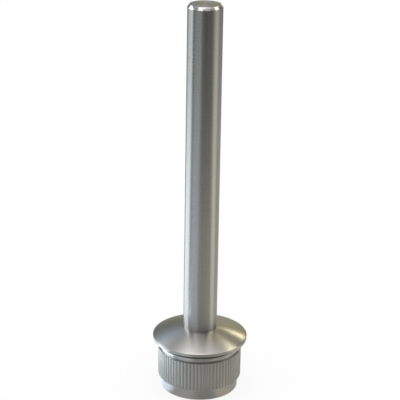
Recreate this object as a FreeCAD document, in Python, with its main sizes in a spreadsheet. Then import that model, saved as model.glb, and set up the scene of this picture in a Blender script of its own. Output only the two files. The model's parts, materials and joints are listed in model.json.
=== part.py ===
"""Tube adapter: a round rod standing on a domed, knurled drive-in plug for a round railing tube.

Lengths are in millimetres. +Z is up and the origin is the centre of the plug's bottom face.
"""
import os

import FreeCAD, Part
import Sketcher
from FreeCAD import Vector

# Driving sizes. Each is set by itself, and everything else is worked out from them.
SIZES = {
    # the tube that the plug is driven into
    "tube_outer_diameter": 33.7,
    "tube_wall": 2.0,
    # the domed cap above the tube's end
    "rim_height": 1.1,
    "rim_edge_break": 0.1,
    "dome_radius": 40.0,
    "crown_margin": 0.1,
    # the plug from the rim down: relief groove, collar, run-out groove, knurl, lead-in
    "relief_height": 1.65,
    "relief_depth": 0.9,
    "collar_height": 0.85,
    "collar_clearance": 0.05,
    "runout_height": 1.1,
    "runout_depth": 0.7,
    "knurl_length": 10.6,
    "knurl_interference": 0.05,
    "knurl_end_chamfer": 0.15,
    "flute_count": 71,
    "flute_depth": 0.22,
    "flute_angle": 90.0,
    "lead_in_height": 4.3,
    "lead_in_clearance": 1.1,
    "lead_in_chamfer": 0.1,
    # the rod and the spigot that centres it in the cap
    "rod_diameter": 12.0,
    "rod_length": 120.0,
    "rod_chamfer_width": 0.7,
    "rod_chamfer_height": 1.1,
    "spigot_diameter": 10.0,
    "spigot_length": 2.5,
    "spigot_chamfer": 0.4,
    "spigot_clearance": 0.03,
    "spigot_end_gap": 0.5,
    # the screw that pulls the rod down on the crown, and the holes it needs
    "screw_diameter": 6.0,
    "screw_length": 25.0,
    "screw_tip_chamfer": 0.6,
    "screw_head_diameter": 10.0,
    "screw_head_height": 6.0,
    "screw_head_chamfer": 0.5,
    "socket_width": 5.0,
    "socket_depth": 3.0,
    "screw_hole_clearance": 0.3,
    "counterbore_clearance": 0.5,
    "counterbore_chamfer": 0.4,
    "head_recess": 1.5,
    "thread_clearance": 0.02,
    "thread_runout": 2.5,
    "drill_point_angle": 118.0,
}


def size(alias):
    """A driving size as it is written in an expression."""
    return f"sizes.{alias}"


# Radii of the cap and the plug, as expressions on the driving sizes.
CAP_RADIUS = f"({size('tube_outer_diameter')} / 2)"
BORE_RADIUS = f"({CAP_RADIUS} - {size('tube_wall')})"
COLLAR_RADIUS = f"({BORE_RADIUS} - {size('collar_clearance')})"
RELIEF_RADIUS = f"({COLLAR_RADIUS} - {size('relief_depth')})"
RUNOUT_RADIUS = f"({COLLAR_RADIUS} - {size('runout_depth')})"
KNURL_RADIUS = f"({BORE_RADIUS} + {size('knurl_interference')})"
FLUTE_RADIUS = f"({KNURL_RADIUS} - {size('flute_depth')})"
LEAD_IN_RADIUS = f"({BORE_RADIUS} - {size('lead_in_clearance')})"
ROD_RADIUS = f"({size('rod_diameter')} / 2)"
SPIGOT_RADIUS = f"({size('spigot_diameter')} / 2)"
CROWN_RADIUS = f"({ROD_RADIUS} + {size('crown_margin')})"
SCREW_RADIUS = f"({size('screw_diameter')} / 2)"
SCREW_HOLE_RADIUS = f"({SCREW_RADIUS} + {size('screw_hole_clearance')})"
HEAD_RADIUS = f"({size('screw_head_diameter')} / 2)"
COUNTERBORE_RADIUS = f"({HEAD_RADIUS} + {size('counterbore_clearance')})"
TAPPED_RADIUS = f"({SCREW_RADIUS} + {size('thread_clearance')})"

# Heights above the plug's bottom face.
KNURL_TOP = f"({size('lead_in_height')} + {size('knurl_length')})"
COLLAR_BOTTOM = f"({KNURL_TOP} + {size('runout_height')})"
COLLAR_TOP = f"({COLLAR_BOTTOM} + {size('collar_height')})"
TUBE_SEAT = f"({COLLAR_TOP} + {size('relief_height')})"
RIM_TOP = f"({TUBE_SEAT} + {size('rim_height')})"
DOME_CENTRE = f"({RIM_TOP} - sqrt({size('dome_radius')}^2 - {CAP_RADIUS}^2))"
CROWN = f"({DOME_CENTRE} + sqrt({size('dome_radius')}^2 - {CROWN_RADIUS}^2))"
SPIGOT_END = f"({CROWN} - {size('spigot_length')})"
HEAD_SEAT = f"({size('screw_head_height')} + {size('head_recess')})"
SCREW_TIP = f"({HEAD_SEAT} + {size('screw_length')})"

# How far a cut runs on past the surface that it opens through.
PAST_SURFACE = 0.5

# What counts as no difference between two measures.
TOLERANCE = 0.0001

# Directions of a hexagon's corners, in degrees.
HEXAGON = range(0, 360, 60)

doc = FreeCAD.newDocument("TubeAdapter")
sheet = doc.addObject("Spreadsheet::Sheet", "sizes")
for row, (alias, number) in enumerate(SIZES.items(), start=1):
    sheet.set(f"A{row}", alias)
    sheet.set(f"B{row}", str(number))
    sheet.setAlias(f"B{row}", alias)
doc.recompute()


def new_body(label):
    """A body whose label is its node's name."""
    body = doc.addObject("PartDesign::Body", label)
    body.Label = label
    return body


def new_sketch(body, name, plane_role, height=None):
    """A sketch on one of the body's own origin planes, raised by an expression if one is given."""
    sketch = body.newObject("Sketcher::SketchObject", name)
    plane = next(item for item in body.Origin.OriginFeatures if item.Role == plane_role)
    sketch.AttachmentSupport = (plane, [""])
    sketch.MapMode = "FlatFace"
    if height is not None:
        sketch.setExpression("AttachmentOffset.Base.z", height)
    doc.recompute()
    return sketch


def value_of(sketch, expression):
    """The present number behind an expression."""
    result = sketch.evalExpression(expression)
    return float(getattr(result, "Value", result))


def near_end(sketch, edge, place):
    """Which end of an edge lies at a place: 1 is its start and 2 its end."""
    start = sketch.getPoint(edge, 1)
    finish = sketch.getPoint(edge, 2)
    return 1 if start.distanceToPoint(place) < finish.distanceToPoint(place) else 2


def bind_place(sketch, edge, end, axis, expression):
    """Bind one coordinate of an edge's end or centre, measured from the sketch's origin."""
    place = value_of(sketch, expression)
    index = sketch.addConstraint(Sketcher.Constraint(axis, -1, 1, edge, end, place))
    sketch.setExpression(f"Constraints[{index}]", expression)


def draw_outline(sketch, corners, arc_centres=None):
    """Draw a closed outline through corners, each a pair of expressions (across, along).

    arc_centres maps a corner to the centre of the arc that leads from it to the next corner.
    Every other stretch is a straight line.
    """
    arc_centres = arc_centres or {}
    places = [Vector(value_of(sketch, x), value_of(sketch, y), 0) for x, y in corners]
    edges = []
    for corner, start, finish in zip(corners, places, places[1:] + places[:1]):
        if corner in arc_centres:
            centre = Vector(*[value_of(sketch, part) for part in arc_centres[corner]], 0)
            outwards = (start + finish) / 2 - centre
            middle = centre + outwards.normalize() * start.distanceToPoint(centre)
            edges.append(sketch.addGeometry(Part.Arc(start, middle, finish), False))
        else:
            edges.append(sketch.addGeometry(Part.LineSegment(start, finish), False))
    for corner, here, edge, before in zip(corners, places, edges, edges[-1:] + edges[:-1]):
        own_end, last_end = near_end(sketch, edge, here), near_end(sketch, before, here)
        sketch.addConstraint(
            Sketcher.Constraint("Coincident", before, last_end, edge, own_end)
        )
        bind_place(sketch, edge, own_end, "DistanceX", corner[0])
        bind_place(sketch, edge, own_end, "DistanceY", corner[1])
        if corner in arc_centres:
            bind_place(sketch, edge, 3, "DistanceX", arc_centres[corner][0])
    doc.recompute()


def revolve(body, sketch, name):
    """Turn an outline once round the sketch's upright axis."""
    turned = body.newObject("PartDesign::Revolution", name)
    turned.Profile = sketch
    turned.ReferenceAxis = (sketch, ["V_Axis"])
    turned.Angle = 360
    doc.recompute()
    return turned


def cut_upwards(body, sketch, name, depth):
    """Cut a sketch's outline out of the body, upwards from the sketch's plane."""
    volume_before = body.Shape.Volume
    pocket = body.newObject("PartDesign::Pocket", name)
    pocket.Profile = sketch
    pocket.Reversed = True
    pocket.setExpression("Length", depth)
    doc.recompute()
    if volume_before - body.Shape.Volume < TOLERANCE:
        raise RuntimeError(f"{name} cuts nothing")
    return pocket


def drill_upwards(body, sketch, name, diameter):
    """Start a drilled hole upwards from a sketch of one circle."""
    hole = body.newObject("PartDesign::Hole", name)
    hole.Profile = sketch
    hole.Reversed = True
    doc.recompute()
    hole.setExpression("Diameter", diameter)
    return hole


def draw_circle(sketch, radius):
    """Draw a circle about the sketch's origin."""
    circle = Part.Circle(Vector(0, 0, 0), Vector(0, 0, 1), value_of(sketch, radius))
    edge = sketch.addGeometry(circle, False)
    sketch.addConstraint(Sketcher.Constraint("Coincident", edge, 3, -1, 1))
    index = sketch.addConstraint(Sketcher.Constraint("Radius", edge, value_of(sketch, radius)))
    sketch.setExpression(f"Constraints[{index}]", radius)
    doc.recompute()


def circular_edge(sketch, body, radius, height):
    """The name of a body's edge that is a circle of a radius at a height, both expressions."""
    wanted_radius, wanted_height = value_of(sketch, radius), value_of(sketch, height)
    for number, edge in enumerate(body.Shape.Edges, start=1):
        if not isinstance(edge.Curve, Part.Circle):
            continue
        radius_error = abs(edge.Curve.Radius - wanted_radius)
        height_error = abs(edge.Curve.Center.z - wanted_height)
        if max(radius_error, height_error) < TOLERANCE:
            return f"Edge{number}"
    raise RuntimeError(f"{body.Label} has no circular edge at {radius}, {height}")


# The cap and plug are one turned piece, drilled and counterbored from beneath.
cap = new_body("domed_plug_cap")
turned_outline = new_sketch(cap, "turned_outline", "XZ_Plane")
chamfered_knurl = f"({KNURL_RADIUS} - {size('knurl_end_chamfer')})"
rim_edge = (CAP_RADIUS, RIM_TOP)
cap_corners = [
    ("0", "0"),
    (f"{LEAD_IN_RADIUS} - {size('lead_in_chamfer')}", "0"),
    (LEAD_IN_RADIUS, size("lead_in_chamfer")),
    (LEAD_IN_RADIUS, size("lead_in_height")),
    (chamfered_knurl, size("lead_in_height")),
    (KNURL_RADIUS, f"{size('lead_in_height')} + {size('knurl_end_chamfer')}"),
    (KNURL_RADIUS, f"{KNURL_TOP} - {size('knurl_end_chamfer')}"),
    (chamfered_knurl, KNURL_TOP),
    (RUNOUT_RADIUS, KNURL_TOP),
    (RUNOUT_RADIUS, COLLAR_BOTTOM),
    (COLLAR_RADIUS, COLLAR_BOTTOM),
    (COLLAR_RADIUS, COLLAR_TOP),
    (RELIEF_RADIUS, COLLAR_TOP),
    (RELIEF_RADIUS, f"{TUBE_SEAT} - ({BORE_RADIUS} - {RELIEF_RADIUS})"),
    (BORE_RADIUS, TUBE_SEAT),
    (f"{CAP_RADIUS} - {size('rim_edge_break')}", TUBE_SEAT),
    (CAP_RADIUS, f"{TUBE_SEAT} + {size('rim_edge_break')}"),
    rim_edge,
    (CROWN_RADIUS, CROWN),
    ("0", CROWN),
]
draw_outline(turned_outline, cap_corners, {rim_edge: ("0", DOME_CENTRE)})
revolve(cap, turned_outline, "turned_blank")

# The spigot's pocket, from its floor up through the crown.
pocket_depth = f"({size('spigot_length')} + {size('spigot_end_gap')})"
pocket_outline = new_sketch(cap, "pocket_outline", "XY_Plane", f"{CROWN} - {pocket_depth}")
draw_circle(pocket_outline, f"{SPIGOT_RADIUS} + {size('spigot_clearance')}")
cut_upwards(cap, pocket_outline, "spigot_pocket", f"{pocket_depth} + {PAST_SURFACE}")

# The screw passes up through the plug, with its head in a counterbore.
screw_hole_outline = new_sketch(cap, "screw_hole_outline", "XY_Plane")
draw_circle(screw_hole_outline, SCREW_HOLE_RADIUS)
screw_hole = drill_upwards(cap, screw_hole_outline, "screw_hole", f"2 * {SCREW_HOLE_RADIUS}")
screw_hole.DepthType = "ThroughAll"
screw_hole.HoleCutType = "Counterbore"
screw_hole.HoleCutCustomValues = True
screw_hole.setExpression("HoleCutDiameter", f"2 * {COUNTERBORE_RADIUS}")
screw_hole.setExpression("HoleCutDepth", HEAD_SEAT)
doc.recompute()

mouth_edge = circular_edge(screw_hole_outline, cap, COUNTERBORE_RADIUS, "0")
mouth = cap.newObject("PartDesign::Chamfer", "counterbore_mouth")
mouth.Base = (screw_hole, [mouth_edge])
mouth.setExpression("Size", size("counterbore_chamfer"))
doc.recompute()

# One flute of the straight knurl, cut from below the knurl up into the run-out groove.
flute_start = f"({size('lead_in_height')} - {PAST_SURFACE})"
flute_outline = new_sketch(cap, "flute_outline", "XY_Plane", flute_start)
half_width = f"(({size('flute_depth')} + {PAST_SURFACE}) * tan({size('flute_angle')} / 2))"
flute_mouth = f"-({KNURL_RADIUS} + {PAST_SURFACE})"
draw_outline(
    flute_outline,
    [("0", f"-{FLUTE_RADIUS}"), (f"-{half_width}", flute_mouth), (half_width, flute_mouth)],
)
flute_length = f"{KNURL_TOP} + {size('runout_height')} / 2 - {flute_start}"
flute = cut_upwards(cap, flute_outline, "knurl_flute", flute_length)

knurl = cap.newObject("PartDesign::PolarPattern", "straight_knurl")
knurl.Originals = [flute]
knurl.Axis = (turned_outline, ["V_Axis"])
knurl.Angle = 360
knurl.setExpression("Occurrences", size("flute_count"))
cap.Tip = knurl
doc.recompute()

# The rod, in its own frame: its shoulder is at the origin and its spigot hangs below it.
rod = new_body("round_rod")
rod_outline = new_sketch(rod, "rod_outline", "XZ_Plane")
rod_top = f"({size('rod_length')} - {size('spigot_length')})"
draw_outline(
    rod_outline,
    [
        ("0", f"-{size('spigot_length')}"),
        (f"{SPIGOT_RADIUS} - {size('spigot_chamfer')}", f"-{size('spigot_length')}"),
        (SPIGOT_RADIUS, f"{size('spigot_chamfer')} - {size('spigot_length')}"),
        (SPIGOT_RADIUS, "0"),
        (ROD_RADIUS, "0"),
        (ROD_RADIUS, f"{rod_top} - {size('rod_chamfer_height')}"),
        (f"{ROD_RADIUS} - {size('rod_chamfer_width')}", rod_top),
        ("0", rod_top),
    ],
)
revolve(rod, rod_outline, "turned_rod")

tapping_outline = new_sketch(rod, "tapping_outline", "XY_Plane", f"-{size('spigot_length')}")
draw_circle(tapping_outline, TAPPED_RADIUS)
tapping = drill_upwards(rod, tapping_outline, "tapped_hole", f"2 * {TAPPED_RADIUS}")
tapping.DepthType = "Dimension"
tapping.setExpression("Depth", f"{SCREW_TIP} - {SPIGOT_END} + {size('thread_runout')}")
tapping.DrillPoint = "Angled"
tapping.setExpression("DrillPointAngle", size("drill_point_angle"))
rod.setExpression("Placement.Base.z", CROWN)
doc.recompute()

# The screw, in its own frame: the underside of its head is at the origin.
screw = new_body("socket_head_screw")
screw_outline = new_sketch(screw, "screw_outline", "XZ_Plane")
draw_outline(
    screw_outline,
    [
        ("0", f"-{size('screw_head_height')}"),
        (f"{HEAD_RADIUS} - {size('screw_head_chamfer')}", f"-{size('screw_head_height')}"),
        (HEAD_RADIUS, f"{size('screw_head_chamfer')} - {size('screw_head_height')}"),
        (HEAD_RADIUS, "0"),
        (SCREW_RADIUS, "0"),
        (SCREW_RADIUS, f"{size('screw_length')} - {size('screw_tip_chamfer')}"),
        (f"{SCREW_RADIUS} - {size('screw_tip_chamfer')}", size("screw_length")),
        ("0", size("screw_length")),
    ],
)
revolve(screw, screw_outline, "turned_screw")

socket_outline = new_sketch(screw, "socket_outline", "XY_Plane", f"-{size('screw_head_height')}")
socket_corner = f"({size('socket_width')} / sqrt(3))"
draw_outline(
    socket_outline,
    [(f"{socket_corner} * cos({turn})", f"{socket_corner} * sin({turn})") for turn in HEXAGON],
)
cut_upwards(screw, socket_outline, "hexagon_socket", size("socket_depth"))
screw.setExpression("Placement.Base.z", HEAD_SEAT)
doc.recompute()

# Every object must have built, and every piece must be one closed solid, before it is written.
for item in doc.Objects:
    if "Invalid" in item.State or "Error" in item.State:
        raise RuntimeError(f"{item.Label} has not built: {item.State}")

os.makedirs("parts", exist_ok=True)
for piece in (cap, rod, screw):
    shape = piece.Shape
    if shape.isNull() or not shape.isValid() or len(shape.Solids) != 1:
        raise RuntimeError(f"{piece.Label} is not one valid solid")
    shape.exportStep(f"parts/{piece.Label}.step")
    heights = f"{shape.BoundBox.ZMin:.3f} to {shape.BoundBox.ZMax:.3f} mm"
    print(f"{piece.Label}: {shape.Volume:.1f} mm3, from {heights} high")
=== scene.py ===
"""Dresses the railing tube adapter: a turned cap with its plug, a round rod and a cap screw.

Everything is in metres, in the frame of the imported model: +Z is up, and the origin is the centre
of the plug's foot. Each piece is turned ring by ring from its outline, as on a lathe. Round them
stand a pale floor and a tent of light and dark cards, which only reflections see.
"""
import json
import logging
import math
from collections.abc import Callable, Iterable, Mapping, Sequence
from dataclasses import dataclass
from enum import Enum

import bmesh
import bpy
from mathutils import Matrix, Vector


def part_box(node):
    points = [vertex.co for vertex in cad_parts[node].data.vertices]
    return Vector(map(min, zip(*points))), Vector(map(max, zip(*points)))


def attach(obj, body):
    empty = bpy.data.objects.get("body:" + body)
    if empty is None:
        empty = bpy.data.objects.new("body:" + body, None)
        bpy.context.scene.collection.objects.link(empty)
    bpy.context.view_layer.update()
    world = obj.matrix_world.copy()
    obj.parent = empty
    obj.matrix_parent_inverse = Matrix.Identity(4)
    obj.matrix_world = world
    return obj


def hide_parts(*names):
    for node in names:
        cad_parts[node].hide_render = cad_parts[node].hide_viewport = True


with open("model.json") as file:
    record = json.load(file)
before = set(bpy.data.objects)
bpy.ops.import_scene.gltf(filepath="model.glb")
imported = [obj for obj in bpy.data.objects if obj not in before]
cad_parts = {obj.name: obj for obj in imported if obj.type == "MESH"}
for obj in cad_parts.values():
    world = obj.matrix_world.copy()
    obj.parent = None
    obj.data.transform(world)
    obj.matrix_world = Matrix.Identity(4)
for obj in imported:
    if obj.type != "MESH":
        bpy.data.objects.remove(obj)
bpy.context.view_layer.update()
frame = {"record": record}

MM = 0.001
# How near a vertex must lie to a ring to be part of it.
SAME_PLACE = 0.002 * MM
# How many facets a broken edge has, and the bevel's profile that lays them on a true arc.
EDGE_FACETS = 3
ARC_PROFILE = 0.5
# Faces that meet at more than this many degrees keep a sharp edge between them.
SHARP_ANGLE = 38.0
# Turns in degrees.
QUARTER_TURN = 90.0
HALF_TURN = 180.0

log = logging.getLogger("railing_tube_adapter")

Colour = tuple[float, float, float]


class Slot(Enum):
    """The record's material slots."""

    TURNED = "turned_steel"
    BRUSHED = "brushed_bar"
    SCREW = "screw_steel"


class Reading:
    """A shader socket that takes part in Python arithmetic."""

    def __init__(self, graph: "Graph", socket: bpy.types.NodeSocket) -> None:
        """Wraps a socket.

        Args:
            graph: the node graph that the socket belongs to.
            socket: the output socket to read.
        """
        self.graph = graph
        self.socket = socket

    def __add__(self, other: "Reading | float") -> "Reading":
        """The sum of two readings."""
        return self.graph.maths("ADD", self, other)

    __radd__ = __add__

    def __sub__(self, other: "Reading | float") -> "Reading":
        """This reading less another."""
        return self.graph.maths("SUBTRACT", self, other)

    def __rsub__(self, other: "Reading | float") -> "Reading":
        """Another value less this reading."""
        return self.graph.maths("SUBTRACT", other, self)

    def __mul__(self, other: "Reading | float") -> "Reading":
        """The product of two readings."""
        return self.graph.maths("MULTIPLY", self, other)

    __rmul__ = __mul__

    def __truediv__(self, other: "Reading | float") -> "Reading":
        """This reading divided by another."""
        return self.graph.maths("DIVIDE", self, other)

    def __neg__(self) -> "Reading":
        """This reading with its sign turned."""
        return self.graph.maths("MULTIPLY", self, -1.0)


SocketValue = Reading | float | Sequence[float]

# The sockets that a Mix node uses when it mixes colours.
MIX_SHARE, MIX_FIRST, MIX_SECOND = 0, 6, 7
MIX_RESULT = 2
# How strongly each finer layer of a noise shows beside the one before it.
LINE_FINENESS = 0.65
CLOUD_FINENESS = 0.55


class Graph:
    """A material's or world's node graph, built from readings."""

    def __init__(self, tree: bpy.types.NodeTree) -> None:
        """Takes over an empty tree.

        Args:
            tree: the node tree to fill. What it holds is removed.
        """
        self.tree = tree
        tree.nodes.clear()

    def node(
        self,
        kind: str,
        settings: Mapping[str, object] | None = None,
        sockets: Mapping[str | int, SocketValue] | None = None,
    ) -> bpy.types.Node:
        """Adds a node.

        Args:
            kind: the node's type.
            settings: its own settings, which are set before its sockets. A ramp's "stops" are
                pairs of a place and a colour.
            sockets: the values of its input sockets, or the readings that lead into them.

        Returns:
            The new node.
        """
        made = self.tree.nodes.new(kind)
        for name, value in (settings or {}).items():
            if name == "stops":
                self._set_stops(made.color_ramp, value)
            else:
                setattr(made, name, value)
        for name, value in (sockets or {}).items():
            if isinstance(value, Reading):
                self.tree.links.new(value.socket, made.inputs[name])
            else:
                made.inputs[name].default_value = value
        return made

    @staticmethod
    def _set_stops(ramp: bpy.types.ColorRamp, stops: Sequence[tuple[float, Colour]]) -> None:
        """Gives a ramp its stops.

        Args:
            ramp: the ramp, which starts with two stops.
            stops: pairs of a place from 0 to 1 and a colour, in order.
        """
        while len(ramp.elements) < len(stops):
            ramp.elements.new(1.0)
        for element, (place, colour) in zip(ramp.elements, stops):
            element.position = place
            element.color = (*colour, 1.0)

    def read(self, node: bpy.types.Node, output: str | int = 0) -> Reading:
        """One output of a node as a reading."""
        return Reading(self, node.outputs[output])

    def maths(self, operation: str, *values: Reading | float) -> Reading:
        """The result of a Math node.

        Args:
            operation: the node's operation.
            values: its inputs, in order.

        Returns:
            Its output.
        """
        sockets = dict(enumerate(values))
        return self.read(self.node("ShaderNodeMath", {"operation": operation}, sockets))

    def ease(self, value: Reading, low: float, high: float) -> Reading:
        """0 below low and 1 above high, with a soft step between.

        Args:
            value: the reading to test.
            low: where the step starts.
            high: where it ends.

        Returns:
            The step.
        """
        settings = {"interpolation_type": "SMOOTHSTEP"}
        sockets = {"Value": value, "From Min": low, "From Max": high}
        return self.read(self.node("ShaderNodeMapRange", settings, sockets))

    def blend(self, share: Reading | float, first: SocketValue, second: SocketValue) -> Reading:
        """A colour mixed from two.

        Args:
            share: the share of the second colour.
            first: a colour, or a reading of one.
            second: the other colour, or a reading of one.

        Returns:
            The mixed colour.
        """
        settings = {"data_type": "RGBA", "blend_type": "MIX"}
        sockets = {MIX_SHARE: share}
        for socket, colour in ((MIX_FIRST, first), (MIX_SECOND, second)):
            sockets[socket] = colour if isinstance(colour, Reading) else (*colour, 1.0)
        return self.read(self.node("ShaderNodeMix", settings, sockets), MIX_RESULT)

    def place(self) -> tuple[Reading, Reading, Reading]:
        """Where the shaded point lies on its piece.

        Returns:
            Its x, y and z in metres.
        """
        coordinates = self.node("ShaderNodeTexCoord")
        point = {"Vector": self.read(coordinates, "Object")}
        parts = self.node("ShaderNodeSeparateXYZ", sockets=point)
        return self.read(parts, "X"), self.read(parts, "Y"), self.read(parts, "Z")

    def radius(self, across: Reading, along: Reading) -> Reading:
        """The distance from the upright axis."""
        return self.maths("SQRT", across * across + along * along)

    def grain(self, lookup: Reading, scale: float, detail: float) -> Reading:
        """Random lines along one measure.

        Args:
            lookup: the measure that the lines cross, in metres.
            scale: how many of the widest lines there are in a metre.
            detail: how many finer layers lie on them.

        Returns:
            A noise from 0 to 1.
        """
        settings = {"noise_dimensions": "1D"}
        sockets = {"W": lookup, "Scale": scale, "Detail": detail, "Roughness": LINE_FINENESS}
        return self.read(self.node("ShaderNodeTexNoise", settings, sockets))

    def cloud(self, point: Reading, scale: float, detail: float) -> Reading:
        """A soft random pattern in space.

        Args:
            point: the place where it is looked up.
            scale: how many of its patches there are in a metre.
            detail: how many finer layers lie on them.

        Returns:
            A noise from 0 to 1.
        """
        sockets = {"Vector": point, "Scale": scale, "Detail": detail, "Roughness": CLOUD_FINENESS}
        return self.read(self.node("ShaderNodeTexNoise", sockets=sockets))

    def vector(
        self, across: Reading | float, along: Reading | float, up: Reading | float
    ) -> Reading:
        """A vector from three parts."""
        parts = {"X": across, "Y": along, "Z": up}
        return self.read(self.node("ShaderNodeCombineXYZ", sockets=parts))


# The parts that worn metal's shade is mixed from, beside its streaks.
LINE_SHARE = 0.45
PATCH_SHARE = 0.25
LEAST_WEAR = 0.05
# How many patches of wear there are in a metre.
PATCH_SCALE = 140.0
# How many finer layers lie on the lines, the patches and the streaks.
LINE_DETAIL = 4.0
PATCH_DETAIL = 2.0
STREAK_DETAIL = 2.0
# How slowly the streaks change along the axis, as a share of how they change across it.
STREAK_STRETCH = 0.02
# The turn of the brushing from the tangent, as a share of a full turn.
BRUSHING_TURN = 0.25
# Metal in a hollow: how much of its shade is left, and how much rougher it is.
HOLLOW_SHADE = 0.8
HOLLOW_ROUGHNESS = 1.2

ShareOf = Callable[[Graph], Reading]


@dataclass(frozen=True)
class SteelFinish:
    """Stainless steel as a lathe, a belt or a die leaves it.

    The colours are those of clean and of worn metal. Scales count the lines or streaks in a
    metre, a line's height is in metres, and the rest are shares from 0 to 1.
    """

    name: str
    light: Colour
    dark: Colour
    roughness: float
    roughness_spread: float
    brushing: float
    line_scale: float
    line_height: float
    streak_scale: float
    streak_share: float
    polished_roughness: float = 0.14

    def material(
        self, darkening: ShareOf | None = None, polish: ShareOf | None = None
    ) -> bpy.types.Material:
        """Makes the finish.

        Args:
            darkening: gives the share of a darker, rougher colour in hollows, if a piece has some.
            polish: gives the share of bright metal on freshly cut faces, if a piece has some.

        Returns:
            The material.
        """
        made = bpy.data.materials.new(self.name)
        made.use_nodes = True
        graph = Graph(made.node_tree)
        across, along, up = graph.place()
        profile = graph.radius(across, along) + up
        lines = graph.grain(profile, self.line_scale, LINE_DETAIL)
        patches = graph.cloud(graph.vector(across, along, up), PATCH_SCALE, PATCH_DETAIL)
        stretched = graph.vector(across, along, up * STREAK_STRETCH)
        streaks = graph.cloud(stretched, self.streak_scale, STREAK_DETAIL)
        worn = (
            lines * LINE_SHARE + patches * PATCH_SHARE + streaks * self.streak_share + LEAST_WEAR
        )
        colour = graph.blend(worn, self.light, self.dark)
        # Lines and streaks are about 0.5 each on average, so the spread goes both ways.
        roughness = self.roughness + (lines + streaks - 1.0) * self.roughness_spread
        if polish:
            polished = polish(graph)
            roughness = roughness + polished * (self.polished_roughness - self.roughness)
        # Colour made darker and rougher in hollows, growing with their depth, where a piece has
        # some.
        if darkening:
            hollow = darkening(graph)
            colour = graph.blend(hollow, colour, tuple(HOLLOW_SHADE * part for part in self.dark))
            roughness = roughness + hollow * HOLLOW_ROUGHNESS
        bump = graph.node(
            "ShaderNodeBump",
            sockets={"Strength": 1.0, "Distance": self.line_height, "Height": lines},
        )
        shader = graph.node(
            "ShaderNodeBsdfPrincipled",
            sockets={
                "Base Color": colour,
                "Metallic": 1.0,
                "Roughness": roughness,
                "Normal": graph.read(bump),
                "Anisotropic": self.brushing,
                "Anisotropic Rotation": BRUSHING_TURN,
            },
        )
        graph.node("ShaderNodeOutputMaterial", sockets={"Surface": graph.read(shader)})
        return made


TURNED = SteelFinish(
    name="turned_steel",
    light=(0.56, 0.55, 0.525),
    dark=(0.44, 0.43, 0.41),
    roughness=0.3,
    roughness_spread=0.06,
    brushing=0.75,
    line_scale=4200.0,
    line_height=0.0035 * MM,
    streak_scale=500.0,
    streak_share=0.2,
)
BRUSHED = SteelFinish(
    name="brushed_bar_steel",
    light=(0.56, 0.555, 0.54),
    dark=(0.43, 0.425, 0.41),
    roughness=0.28,
    roughness_spread=0.08,
    brushing=0.8,
    line_scale=5200.0,
    line_height=0.003 * MM,
    streak_scale=1500.0,
    streak_share=0.35,
)
SCREW_STEEL = SteelFinish(
    name="screw_steel",
    light=(0.5, 0.49, 0.47),
    dark=(0.36, 0.35, 0.335),
    roughness=0.34,
    roughness_spread=0.05,
    brushing=0.4,
    line_scale=3000.0,
    line_height=0.002 * MM,
    streak_scale=900.0,
    streak_share=0.2,
)


@dataclass(frozen=True)
class Station:
    """One ring of a turned outline, and how far its edge is rounded."""

    radius: float
    height: float
    rounding: float = 0.0


def clear_selection() -> None:
    """Deselects every object."""
    for item in bpy.context.selected_objects:
        item.select_set(False)


def on_ring(vertex: bmesh.types.BMVert, station: Station) -> bool:
    """Whether a vertex lies on a ring.

    Args:
        vertex: the vertex, of a mesh in edit mode.
        station: the ring.

    Returns:
        True if it does.
    """
    off_height = abs(vertex.co.z - station.height)
    off_radius = abs(vertex.co.xy.length - station.radius)
    return max(off_height, off_radius) < SAME_PLACE


def select_rings(piece: bpy.types.Object, stations: Iterable[Station]) -> None:
    """Selects the edges along some rings, and nothing else.

    Args:
        piece: the piece in edit mode.
        stations: the rings.
    """
    bpy.ops.mesh.select_all(action="DESELECT")
    bpy.ops.mesh.select_mode(type="EDGE")
    mesh = bmesh.from_edit_mesh(piece.data)
    for station in stations:
        for edge in mesh.edges:
            if all(on_ring(end, station) for end in edge.verts):
                edge.select_set(True)
    mesh.select_flush_mode()
    bmesh.update_edit_mesh(piece.data)


def select_vertices(piece: bpy.types.Object, wanted: Callable[[bmesh.types.BMVert], bool]) -> None:
    """Selects the vertices that pass a test, and nothing else.

    Args:
        piece: the piece in edit mode.
        wanted: the test.
    """
    bpy.ops.mesh.select_all(action="DESELECT")
    bpy.ops.mesh.select_mode(type="VERT")
    mesh = bmesh.from_edit_mesh(piece.data)
    for vertex in mesh.verts:
        vertex.select_set(wanted(vertex))
    mesh.select_flush_mode()
    bmesh.update_edit_mesh(piece.data)


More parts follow.
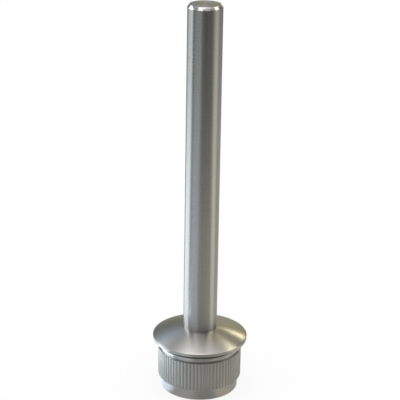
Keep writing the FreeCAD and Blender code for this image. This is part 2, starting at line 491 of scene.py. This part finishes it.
def turn(name: str, outline: Sequence[Station], steps: int, bored: bool) -> bpy.types.Object:
    """Turns a piece: a first ring is extruded from station to station, and its edges are broken.

    Args:
        name: the piece's name.
        outline: the rings, in order along the outline.
        steps: how many vertices each ring has.
        bored: whether the outline closes on its own start, as round a through hole. Otherwise
            both of its ends are closed by a small face.

    Returns:
        The piece, left in edit mode.
    """
    clear_selection()
    first = outline[0]
    bpy.ops.mesh.primitive_circle_add(
        vertices=steps, radius=first.radius, fill_type="NOTHING", location=(0, 0, first.height)
    )
    piece = bpy.context.active_object
    piece.name = name
    piece.data.name = name
    bpy.ops.object.transform_apply(location=True, rotation=True, scale=True)
    bpy.ops.object.mode_set(mode="EDIT")
    bpy.ops.mesh.select_all(action="SELECT")
    for before, here in zip(outline, outline[1:]):
        rise = here.height - before.height
        growth = here.radius / before.radius
        bpy.ops.mesh.extrude_region_move(TRANSFORM_OT_translate={"value": (0, 0, rise)})
        bpy.ops.transform.resize(
            value=(growth, growth, 1), center_override=(0, 0, here.height)
        )
    if bored:
        select_rings(piece, [first, outline[-1]])
        bpy.ops.mesh.bridge_edge_loops()
    else:
        for end in (first, outline[-1]):
            select_rings(piece, [end])
            bpy.ops.mesh.edge_face_add()
    for rounding in sorted({station.rounding for station in outline} - {0.0}):
        select_rings(piece, [station for station in outline if station.rounding == rounding])
        bpy.ops.mesh.bevel(
            offset=rounding, segments=EDGE_FACETS, profile=ARC_PROFILE, affect="EDGES"
        )
    bpy.ops.mesh.select_all(action="SELECT")
    bpy.ops.mesh.normals_make_consistent(inside=False)
    return piece


def finish_surface(piece: bpy.types.Object) -> None:
    """Shades a piece smooth between its sharp edges, with its broad faces left true.

    Args:
        piece: the piece, in edit or object mode.
    """
    bpy.ops.object.mode_set(mode="OBJECT")
    clear_selection()
    piece.select_set(True)
    bpy.context.view_layer.objects.active = piece
    bpy.ops.object.shade_smooth_by_angle(angle=math.radians(SHARP_ANGLE))
    weighted = piece.modifiers.new("true_broad_faces", "WEIGHTED_NORMAL")
    weighted.keep_sharp = True
    bpy.ops.object.modifier_apply(modifier=weighted.name)


def dress(piece: bpy.types.Object, node: str, material: bpy.types.Material) -> None:
    """Gives a piece its finish and lets it stand for its node.

    Args:
        piece: the finished piece.
        node: the node that it stands for.
        material: its finish.
    """
    piece.data.materials.clear()
    piece.data.materials.append(material)
    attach(piece, "root")
    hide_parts(node)


@dataclass
class PlugCap:
    """The cap with its knurled plug, turned from one bar."""

    node: str = "domed_plug_cap"
    # the cap
    rim_height: float = 1.1 * MM
    rim_edge_break: float = 0.1 * MM
    dome_radius: float = 40.0 * MM
    dome_rings: int = 14
    crown_margin: float = 0.1 * MM
    # the plug, from the rim down
    relief_depth: float = 0.9 * MM
    collar_height: float = 0.85 * MM
    collar_clearance: float = 0.05 * MM
    runout_height: float = 1.1 * MM
    runout_depth: float = 0.7 * MM
    knurl_length: float = 10.6 * MM
    knurl_interference: float = 0.05 * MM
    knurl_end_chamfer: float = 0.15 * MM
    flute_count: int = 71
    flute_depth: float = 0.22 * MM
    lead_in_height: float = 4.3 * MM
    lead_in_clearance: float = 1.1 * MM
    lead_in_chamfer: float = 0.1 * MM
    # the holes
    pocket_radius: float = 5.03 * MM
    pocket_depth: float = 3.0 * MM
    screw_hole_radius: float = 3.3 * MM
    counterbore_radius: float = 5.5 * MM
    counterbore_depth: float = 7.5 * MM
    counterbore_chamfer: float = 0.4 * MM
    # the broken edges
    crisp: float = 0.03 * MM
    groove_rounding: float = 0.4 * MM
    # how deep a flute is at each step from its root, which leaves the crests rounded
    steps_per_flute: int = 8
    flute_profile: tuple[float, ...] = (1.0, 0.62, 0.25, 0.06)
    # the share of the darker colour on the crests and at the roots, which grows from the crests
    # towards the roots
    crest_darkening: float = 0.08
    root_darkening: float = 0.16

    def __post_init__(self) -> None:
        """Reads the sizes that the frame gives."""
        mounts = {mount["name"]: mount for mount in frame["record"]["mounts"]}
        self.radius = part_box(self.node)[1].x
        self.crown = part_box(self.node)[1].z
        self.rod_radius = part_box("round_rod")[1].x
        self.seat = mounts["tube_end_seat"]["pos_m"][2]
        self.knurl_radius = mounts["knurled_plug"]["dims"]["r_mm"] * MM
        self.knurl_top = self.lead_in_height + self.knurl_length
        self.bore = self.knurl_radius - self.knurl_interference
        self.collar = self.bore - self.collar_clearance
        self.collar_bottom = self.knurl_top + self.runout_height
        self.collar_top = self.collar_bottom + self.collar_height
        self.lead_in_radius = self.bore - self.lead_in_clearance

    def dome(self) -> list[Station]:
        """Lays out the dome.

        Returns:
            Its rings, from the rim to the crown.
        """
        centre = self.seat + self.rim_height - math.sqrt(self.dome_radius**2 - self.radius**2)
        start = math.asin(self.radius / self.dome_radius)
        end = math.asin((self.rod_radius + self.crown_margin) / self.dome_radius)
        turns = [
            start + (end - start) * number / self.dome_rings
            for number in range(self.dome_rings + 1)
        ]
        return [
            Station(
                self.dome_radius * math.sin(turn_angle),
                centre + self.dome_radius * math.cos(turn_angle),
                self.crisp if turn_angle == start else 0.0,
            )
            for turn_angle in turns
        ]

    def band(self) -> list[Station]:
        """Lays out the knurled band.

        Returns:
            Its rings, from its lower end up.
        """
        chamfered = self.knurl_radius - self.knurl_end_chamfer
        return [
            Station(chamfered, self.lead_in_height),
            Station(self.knurl_radius, self.lead_in_height + self.knurl_end_chamfer),
            Station(self.knurl_radius, self.knurl_top - self.knurl_end_chamfer),
            Station(chamfered, self.knurl_top),
        ]

    def outline(self) -> list[Station]:
        """Lays out the whole section.

        Returns:
            Its rings, from the counterbore's mouth out, up, over the dome and down the holes.
        """
        relief = self.collar - self.relief_depth
        # The relief groove ends above in a cone of 45 degrees, up to the tube's seat.
        cone_foot = self.seat - (self.bore - relief)
        runout = self.collar - self.runout_depth
        pocket_floor = self.crown - self.pocket_depth
        mouth = self.counterbore_radius + self.counterbore_chamfer
        crisp = self.crisp
        return [
            Station(mouth, 0.0, crisp),
            Station(self.lead_in_radius - self.lead_in_chamfer, 0.0, crisp),
            Station(self.lead_in_radius, self.lead_in_chamfer, crisp),
            Station(self.lead_in_radius, self.lead_in_height),
            *self.band(),
            Station(runout, self.knurl_top, self.groove_rounding),
            Station(runout, self.collar_bottom, self.groove_rounding),
            Station(self.collar, self.collar_bottom, crisp),
            Station(self.collar, self.collar_top, crisp),
            Station(relief, self.collar_top),
            Station(relief, cone_foot),
            Station(self.bore, self.seat),
            Station(self.radius - self.rim_edge_break, self.seat, crisp),
            Station(self.radius, self.seat + self.rim_edge_break, crisp),
            *self.dome(),
            Station(self.pocket_radius, self.crown),
            Station(self.pocket_radius, pocket_floor),
            Station(self.screw_hole_radius, pocket_floor),
            Station(self.screw_hole_radius, self.counterbore_depth),
            Station(self.counterbore_radius, self.counterbore_depth),
            Station(self.counterbore_radius, self.counterbore_chamfer, crisp),
        ]

    def step_of(self, vertex: bmesh.types.BMVert) -> int:
        """Counts the steps from a vertex to the nearest flute's root.

        Args:
            vertex: a vertex of the turned blank.

        Returns:
            Their number.
        """
        steps = self.flute_count * self.steps_per_flute
        turned = math.atan2(vertex.co.y, vertex.co.x) / math.tau * steps
        step = round(turned) % self.steps_per_flute
        return min(step, self.steps_per_flute - step)

    def press_flutes(self, piece: bpy.types.Object) -> None:
        """Presses the knurl's flutes into the blank, ring by ring and step by step.

        Args:
            piece: the turned blank, in edit mode.
        """
        for station in self.band():
            for step, share in enumerate(self.flute_profile):
                shrink = (self.knurl_radius - share * self.flute_depth) / station.radius
                # A chamfered end can already lie lower than the flute does at this step.
                if shrink >= 1.0:
                    continue
                select_vertices(
                    piece,
                    lambda vertex: on_ring(vertex, station) and self.step_of(vertex) == step,
                )
                bpy.ops.transform.resize(
                    value=(shrink, shrink, 1), center_override=(0, 0, station.height)
                )

    def hollows(self, graph: Graph) -> Reading:
        """The share of a darker, rougher colour on the knurl, which grows towards the flutes'
        roots.

        Args:
            graph: the graph of the cap's material.

        Returns:
            0 on a turned face, and up to the root's wear on the knurl.
        """
        across, along, up = graph.place()
        from_axis = graph.radius(across, along)
        crest = self.knurl_radius
        depth = 1.0 - graph.ease(from_axis, crest - self.flute_depth, crest)
        above = graph.ease(up, self.lead_in_height, self.lead_in_height + self.crisp)
        below = 1.0 - graph.ease(up, self.knurl_top - self.crisp, self.knurl_top)
        outside = graph.ease(from_axis, self.lead_in_radius, crest - self.flute_depth)
        knurl_darkening = depth * (self.root_darkening - self.crest_darkening) + self.crest_darkening
        return knurl_darkening * above * below * outside

    def bright_turning(self, graph: Graph) -> Reading:
        """The share of brightly turned metal, on the collar and the lead-in.

        Args:
            graph: the graph of the cap's material.

        Returns:
            1 on those two and 0 elsewhere.
        """
        up = graph.place()[2]
        edge = self.crisp
        lead_in = 1.0 - graph.ease(up, self.lead_in_height - edge, self.lead_in_height + edge)
        from_below = graph.ease(up, self.collar_bottom - edge, self.collar_bottom + edge)
        from_above = 1.0 - graph.ease(up, self.collar_top - edge, self.collar_top + edge)
        return lead_in + from_below * from_above

    def build(self) -> bpy.types.Object:
        """Makes the cap.

        Returns:
            The finished piece.
        """
        steps = self.flute_count * self.steps_per_flute
        piece = turn("turned_plug_cap", self.outline(), steps, bored=True)
        self.press_flutes(piece)
        finish_surface(piece)
        material = TURNED.material(self.hollows, self.bright_turning)
        dress(piece, self.node, material)
        return piece


@dataclass
class Rod:
    """The round rod, with the spigot and the tapped hole in its foot."""

    node: str = "round_rod"
    chamfer_width: float = 0.7 * MM
    chamfer_height: float = 1.1 * MM
    spigot_radius: float = 5.0 * MM
    spigot_length: float = 2.5 * MM
    spigot_chamfer: float = 0.4 * MM
    tapped_radius: float = 3.02 * MM
    # how far the tapped hole runs past the screw's tip
    thread_runout: float = 2.5 * MM
    drill_point_angle: float = 118.0
    # the small flat that closes each end of the outline on the axis
    pilot_radius: float = 0.02 * MM
    crisp: float = 0.05 * MM
    steps: int = 192

    def outline(self) -> list[Station]:
        """Lays out the section.

        Returns:
            Its rings, from the drilled point out over the spigot and up to the top face.
        """
        foot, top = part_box(self.node)[0].z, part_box(self.node)[1].z
        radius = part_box(self.node)[1].x
        hole_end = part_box("socket_head_screw")[1].z + self.thread_runout
        slope = math.tan(math.radians(self.drill_point_angle / 2))
        point = hole_end + (self.tapped_radius - self.pilot_radius) / slope
        shoulder = foot + self.spigot_length
        return [
            Station(self.pilot_radius, point),
            Station(self.tapped_radius, hole_end),
            Station(self.tapped_radius, foot, self.crisp),
            Station(self.spigot_radius - self.spigot_chamfer, foot, self.crisp),
            Station(self.spigot_radius, foot + self.spigot_chamfer, self.crisp),
            Station(self.spigot_radius, shoulder),
            Station(radius, shoulder),
            Station(radius, top - self.chamfer_height, self.crisp),
            Station(radius - self.chamfer_width, top, self.crisp),
            Station(self.pilot_radius, top),
        ]

    def cut_end(self, graph: Graph) -> Reading:
        """The share of brightly cut metal, on the chamfer.

        Args:
            graph: the graph of the rod's material.

        Returns:
            1 on the chamfer and 0 elsewhere.
        """
        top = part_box(self.node)[1].z
        start = top - self.chamfer_height
        up = graph.place()[2]
        from_below = graph.ease(up, start - self.crisp, start + self.crisp)
        from_above = 1.0 - graph.ease(up, top - self.crisp, top)
        return from_below * from_above

    def build(self) -> bpy.types.Object:
        """Makes the rod.

        Returns:
            The finished piece.
        """
        piece = turn("brushed_rod", self.outline(), self.steps, bored=False)
        finish_surface(piece)
        dress(piece, self.node, BRUSHED.material(polish=self.cut_end))
        return piece


@dataclass
class CapScrew:
    """The socket head screw that pulls the rod down on the crown."""

    node: str = "socket_head_screw"
    head_height: float = 6.0 * MM
    head_chamfer: float = 0.5 * MM
    shank_radius: float = 3.0 * MM
    tip_chamfer: float = 0.6 * MM
    plain_length: float = 2.0 * MM
    thread_pitch: float = 1.0 * MM
    core_radius: float = 2.4 * MM
    thread_ridge: float = 0.5 * MM
    ridge_sides: int = 3
    steps_per_turn: int = 32
    # the hexagon socket, and how far its broach stands out of the head before the cut
    socket_sides: int = 6
    socket_width: float = 5.0 * MM
    socket_depth: float = 3.0 * MM
    broach_margin: float = 1.0 * MM
    # the small flat that closes each end of the outline on the axis
    pilot_radius: float = 0.02 * MM
    crisp: float = 0.08 * MM
    steps: int = 96

    def outline(self) -> list[Station]:
        """Lays out the section.

        Returns:
            Its rings, from the middle of the head's face to the tip.
        """
        face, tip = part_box(self.node)[0].z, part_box(self.node)[1].z
        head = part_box(self.node)[1].x
        underside = face + self.head_height
        return [
            Station(self.pilot_radius, face),
            Station(head - self.head_chamfer, face, self.crisp),
            Station(head, face + self.head_chamfer, self.crisp),
            Station(head, underside, self.crisp),
            Station(self.shank_radius, underside),
            Station(self.shank_radius, underside + self.plain_length),
            Station(self.core_radius, underside + self.plain_length + self.tip_chamfer),
            Station(self.core_radius, tip),
            Station(self.pilot_radius, tip),
        ]

    def cut_socket(self, piece: bpy.types.Object) -> None:
        """Cuts the hexagon socket into the head's face.

        Args:
            piece: the turned screw, in object mode.
        """
        clear_selection()
        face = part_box(self.node)[0].z
        depth = self.socket_depth + self.broach_margin
        bpy.ops.mesh.primitive_cylinder_add(
            vertices=self.socket_sides,
            radius=self.socket_width / 2 / math.cos(math.pi / self.socket_sides),
            depth=depth,
            location=(0, 0, face - self.broach_margin + depth / 2),
        )
        broach = bpy.context.active_object
        clear_selection()
        piece.select_set(True)
        bpy.context.view_layer.objects.active = piece
        cut = piece.modifiers.new("socket", "BOOLEAN")
        cut.operation = "DIFFERENCE"
        cut.object = broach
        bpy.ops.object.modifier_apply(modifier=cut.name)
        bpy.data.objects.remove(broach)

    def wind_thread(self, piece: bpy.types.Object) -> None:
        """Winds the thread's ridge round the core and joins it on.

        Args:
            piece: the turned screw, in object mode.
        """
        clear_selection()
        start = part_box(self.node)[0].z + self.head_height + self.plain_length
        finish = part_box(self.node)[1].z - self.thread_ridge
        bpy.ops.mesh.primitive_circle_add(
            vertices=self.ridge_sides,
            radius=self.thread_ridge,
            location=(0, self.shank_radius - self.thread_ridge, start),
            rotation=(0, math.pi / 2, 0),
        )
        ridge = bpy.context.active_object
        bpy.ops.object.transform_apply(location=True, rotation=True, scale=True)
        winding = ridge.modifiers.new("winding", "SCREW")
        winding.axis = "Z"
        winding.screw_offset = self.thread_pitch
        winding.iterations = int((finish - start) / self.thread_pitch)
        winding.steps = self.steps_per_turn
        winding.render_steps = self.steps_per_turn
        bpy.ops.object.modifier_apply(modifier=winding.name)
        bpy.ops.object.mode_set(mode="EDIT")
        bpy.ops.mesh.select_all(action="DESELECT")
        bpy.ops.mesh.select_mode(type="EDGE")
        bpy.ops.mesh.select_non_manifold()
        bpy.ops.mesh.edge_face_add()
        bpy.ops.mesh.select_all(action="SELECT")
        bpy.ops.mesh.normals_make_consistent(inside=False)
        bpy.ops.object.mode_set(mode="OBJECT")
        piece.select_set(True)
        bpy.context.view_layer.objects.active = piece
        bpy.ops.object.join()

    def build(self) -> bpy.types.Object:
        """Makes the screw.

        Returns:
            The finished piece.
        """
        piece = turn("cap_screw", self.outline(), self.steps, bored=False)
        bpy.ops.object.mode_set(mode="OBJECT")
        self.cut_socket(piece)
        self.wind_thread(piece)
        finish_surface(piece)
        dress(piece, self.node, SCREW_STEEL.material())
        return piece


@dataclass(frozen=True)
class Card:
    """A soft patch of light or shade round the object, which only the metal sees.

    Angles are in degrees. An azimuth of 0 lies towards the camera, and 90 to its right. Each
    edge fades over its softness to either side of where it stands.
    """

    name: str
    azimuth: float
    half_width: float
    low: float
    high: float
    colour: Colour
    side_softness: float
    end_softness: float


# The paper of the floor, and the sky over it.
WHITE = (1.0, 1.0, 1.0, 1.0)


@dataclass
class Studio:
    """A pale floor under a plain white sky, with the cards that the metal reflects."""

    floor_size: float = 6.0
    # how far the floor lies under the foot, so that the two faces don't coincide
    floor_drop: float = 0.02 * MM
    floor_glow: float = 0.85
    tent_radius: float = 0.45
    tent_centre: float = 0.05
    # where the tent is cut off and closed, just over the paper
    tent_floor: float = 0.3 * MM
    tent_segments: int = 64
    tent_rings: int = 48
    # the light at each rise in degrees, from straight below to straight above
    sky: tuple[tuple[float, Colour], ...] = (
        (-90.0, (0.50, 0.50, 0.48)),
        (-67.0, (0.50, 0.50, 0.475)),
        (-61.0, (0.64, 0.645, 0.62)),
        (-56.0, (0.66, 0.665, 0.64)),
        (-51.0, (0.45, 0.445, 0.41)),
        (-46.0, (0.42, 0.415, 0.38)),
        (-38.0, (0.475, 0.47, 0.43)),
        (-16.0, (0.475, 0.47, 0.42)),
        (-4.0, (0.33, 0.33, 0.31)),
        (6.0, (0.21, 0.21, 0.195)),
        (22.0, (0.23, 0.23, 0.22)),
        (34.0, (0.36, 0.36, 0.36)),
        (50.0, (0.51, 0.50, 0.505)),
        (62.0, (0.84, 0.80, 0.81)),
        (74.0, (1.28, 1.24, 1.26)),
        (90.0, (1.35, 1.3, 1.32)),
    )
    # each card lies over the ones before it
    cards: tuple[Card, ...] = (
        Card("left_wall", -46.0, 28.0, -63.0, -9.0, (0.64, 0.71, 0.77), 12.0, 4.0),
        Card("dark_floor", 10.0, 18.0, -120.0, -66.0, (0.33, 0.33, 0.31), 12.0, 5.0),
        Card("dark_band", 8.0, 24.0, -54.0, -41.0, (0.25, 0.245, 0.225), 10.0, 3.0),
        Card("warm_floor", 47.0, 14.0, -120.0, -66.0, (0.59, 0.56, 0.45), 8.0, 4.0),
        Card("dark_front", 17.0, 37.0, -11.0, 55.0, (0.10, 0.095, 0.08), 6.0, 6.0),
        Card("dark_core", 9.0, 12.0, -8.0, 42.0, (0.05, 0.047, 0.04), 6.0, 5.0),
        Card("left_glow", -107.0, 24.0, 9.0, 40.0, (3.1, 3.4, 3.65), 4.0, 4.0),
        Card("left_gap", -72.0, 7.0, -9.0, 25.0, (0.11, 0.12, 0.135), 4.0, 4.0),
        Card("left_behind", -150.0, 18.0, 20.0, 46.0, (0.40, 0.50, 0.575), 8.0, 8.0),
        Card("warm_low", 165.0, 17.0, 0.0, 24.0, (0.54, 0.50, 0.31), 6.0, 5.0),
        Card("warm_gap", 154.0, 6.0, -2.0, 13.0, (0.10, 0.095, 0.04), 4.0, 3.0),
        Card("warm_high", 158.0, 16.0, 26.0, 58.0, (0.37, 0.34, 0.23), 6.0, 5.0),
        Card("right_wall", 118.0, 30.0, -120.0, -7.0, (0.53, 0.53, 0.50), 8.0, 7.0),
        Card("right_lamp", 84.0, 16.0, -46.0, 0.0, (0.92, 0.90, 0.76), 7.0, 11.0),
        Card("left_low", -112.0, 28.0, -120.0, -36.0, (1.05, 1.18, 1.28), 6.0, 8.0),
        Card("left_window", -114.0, 26.0, -40.0, -8.0, (1.54, 1.78, 1.94), 5.0, 6.0),
        Card("left_shade", -99.0, 44.0, -67.0, -53.0, (0.42, 0.50, 0.57), 6.0, 3.0),
        Card("left_floor", -76.0, 22.0, -120.0, -68.0, (1.15, 1.37, 1.6), 9.0, 3.0),
        Card("left_glint", -87.0, 19.0, -53.0, -47.5, (5.4, 6.1, 6.8), 6.0, 2.0),
        Card("warm_streak", 154.5, 4.5, 20.5, 24.5, (10.0, 9.2, 6.3), 3.0, 2.0),
        Card("warm_spot", 130.0, 4.5, 44.0, 52.0, (10.5, 10.1, 7.2), 4.0, 3.0),
        Card("ceiling", -25.0, 75.0, 62.0, 120.0, (2.55, 2.45, 2.5), 20.0, 7.0),
        Card("back_ceiling", -160.0, 30.0, 63.0, 120.0, (1.5, 1.42, 1.45), 10.0, 6.0),
        Card("front_panel", -38.0, 19.0, 46.0, 62.0, (2.3, 2.25, 2.3), 8.0, 5.0),
        Card("right_panel", 95.0, 15.0, 38.0, 56.0, (3.1, 3.0, 2.3), 5.0, 4.0),
        Card("shade_high", 20.0, 17.0, 40.0, 65.0, (0.70, 0.68, 0.64), 9.0, 3.0),
    )

    def world(self) -> None:
        """Makes the plain white sky."""
        world = bpy.data.worlds.new("white_sky")
        bpy.context.scene.world = world
        world.use_nodes = True
        graph = Graph(world.node_tree)
        sky = graph.node("ShaderNodeBackground", sockets={"Color": WHITE, "Strength": 1.0})
        graph.node("ShaderNodeOutputWorld", sockets={"Surface": graph.read(sky)})

    def floor(self) -> None:
        """Makes the floor, whose paper looks plain white where it is seen or mirrored."""
        clear_selection()
        bpy.ops.mesh.primitive_plane_add(
            size=self.floor_size, location=(0, 0, -self.floor_drop)
        )
        floor = bpy.context.active_object
        floor.name = "studio_floor"
        paper = bpy.data.materials.new("pale_paper")
        paper.use_nodes = True
        graph = Graph(paper.node_tree)
        shaded = graph.node("ShaderNodeBsdfDiffuse", sockets={"Color": WHITE})
        plain = graph.node("ShaderNodeEmission", sockets={"Color": WHITE, "Strength": 1.0})
        path = graph.node("ShaderNodeLightPath")
        seen = [graph.read(path, f"Is {kind} Ray") for kind in ("Camera", "Glossy", "Transmission")]
        share = graph.maths("MAXIMUM", graph.maths("MAXIMUM", seen[0], seen[1]), seen[2])
        parts = {0: share * self.floor_glow, 1: graph.read(shaded), 2: graph.read(plain)}
        mixed = graph.node("ShaderNodeMixShader", sockets=parts)
        graph.node("ShaderNodeOutputMaterial", sockets={"Surface": graph.read(mixed)})
        floor.data.materials.append(paper)

    @staticmethod
    def ramp_place(rise: Reading | float) -> Reading | float:
        """Where a rise stands on the sky's ramp, from 0 straight below to 1 straight above."""
        return (rise + QUARTER_TURN) / HALF_TURN

    @staticmethod
    def card_mask(graph: Graph, azimuth: Reading, rise: Reading, card: Card) -> Reading:
        """The share of a card in a direction.

        Args:
            graph: the graph of the tent's material.
            azimuth: the direction round the object, in degrees.
            rise: the direction's height, in degrees.
            card: the card.

        Returns:
            1 on the card and 0 off it, with soft edges.
        """
        turned = graph.maths("WRAP", azimuth - card.azimuth, HALF_TURN, -HALF_TURN)
        aside = graph.maths("ABSOLUTE", turned)
        outer = card.half_width + card.side_softness
        beside = graph.ease(aside, card.half_width - card.side_softness, outer)
        above = graph.ease(rise, card.low - card.end_softness, card.low + card.end_softness)
        over = graph.ease(rise, card.high - card.end_softness, card.high + card.end_softness)
        return (1.0 - beside) * above * (1.0 - over)

    def tent_material(self) -> bpy.types.Material:
        """Makes the light of the tent, painted by direction.

        Returns:
            The material.
        """
        made = bpy.data.materials.new("tent_light")
        made.use_nodes = True
        graph = Graph(made.node_tree)
        across, along, up = graph.place()
        degrees = math.degrees(1.0)
        azimuth = graph.maths("ARCTAN2", across, -along) * degrees
        from_axis = graph.radius(across, along)
        rise = graph.maths("ARCTAN2", up - self.tent_centre, from_axis) * degrees
        stops = [(self.ramp_place(angle), colour) for angle, colour in self.sky]
        place = {"Fac": self.ramp_place(rise)}
        light = graph.read(graph.node("ShaderNodeValToRGB", {"stops": stops}, place))
        for card in self.cards:
            mask = self.card_mask(graph, azimuth, rise, card)
            light = graph.blend(mask, light, card.colour)
            light.socket.node.label = card.name
        glow = graph.node("ShaderNodeEmission", sockets={"Color": light, "Strength": 1.0})
        graph.node("ShaderNodeOutputMaterial", sockets={"Surface": graph.read(glow)})
        return made

    def tent(self) -> None:
        """Makes the tent of cards round the object, which is seen in reflections only."""
        clear_selection()
        bpy.ops.mesh.primitive_uv_sphere_add(
            segments=self.tent_segments,
            ring_count=self.tent_rings,
            radius=self.tent_radius,
            location=(0, 0, self.tent_centre),
        )
        tent = bpy.context.active_object
        tent.name = "reflection_tent"
        bpy.ops.object.transform_apply(location=True, rotation=True, scale=True)
        bpy.ops.object.mode_set(mode="EDIT")
        bpy.ops.mesh.select_all(action="SELECT")
        bpy.ops.mesh.bisect(
            plane_co=(0, 0, self.tent_floor), plane_no=(0, 0, 1), clear_inner=True, use_fill=True
        )
        bpy.ops.object.mode_set(mode="OBJECT")
        tent.data.materials.append(self.tent_material())
        tent.visible_camera = False
        tent.visible_diffuse = False
        tent.visible_shadow = False
        tent.visible_transmission = False

    def build(self) -> None:
        """Makes the whole stage."""
        self.world()
        self.floor()
        self.tent()


@dataclass(frozen=True)
class ViewPoint:
    """Where the photograph was taken from, in metres and degrees."""

    position: tuple[float, float, float] = (0.0, -0.455861, 0.245443)
    turned_right: float = -0.0919
    raised: float = -20.932
    rolled: float = 0.938
    focal_length_pixels: float = 1405.576
    image_width_pixels: float = 400.0
    sensor_width_mm: float = 36.0
    nearest_seen: float = 0.01

    def build(self) -> None:
        """Makes the camera and gives it to the scene."""
        data = bpy.data.cameras.new("photo_camera")
        data.sensor_width = self.sensor_width_mm
        data.lens = self.focal_length_pixels / self.image_width_pixels * self.sensor_width_mm
        data.clip_start = self.nearest_seen
        camera = bpy.data.objects.new("photo_camera", data)
        bpy.context.scene.collection.objects.link(camera)
        heading = Matrix.Rotation(math.radians(-self.turned_right), 4, "Z")
        tilt = Matrix.Rotation(math.radians(QUARTER_TURN + self.raised), 4, "X")
        roll = Matrix.Rotation(math.radians(self.rolled), 4, "Z")
        camera.matrix_world = Matrix.Translation(self.position) @ heading @ tilt @ roll
        bpy.context.scene.camera = camera


def main() -> None:
    """Builds the camera, the stage and each piece in order, and reports the pieces."""
    logging.basicConfig(level=logging.INFO, format="%(name)s: %(message)s")
    bpy.context.scene.view_settings.view_transform = "Standard"
    ViewPoint().build()
    Studio().build()
    for sub_assembly in (PlugCap(), Rod(), CapScrew()):
        piece = sub_assembly.build()
        triangles = sum(len(face.vertices) - 2 for face in piece.data.polygons)
        log.info("%s stands for %s: %d triangles", piece.name, sub_assembly.node, triangles)


if __name__ == "__main__":
    main()
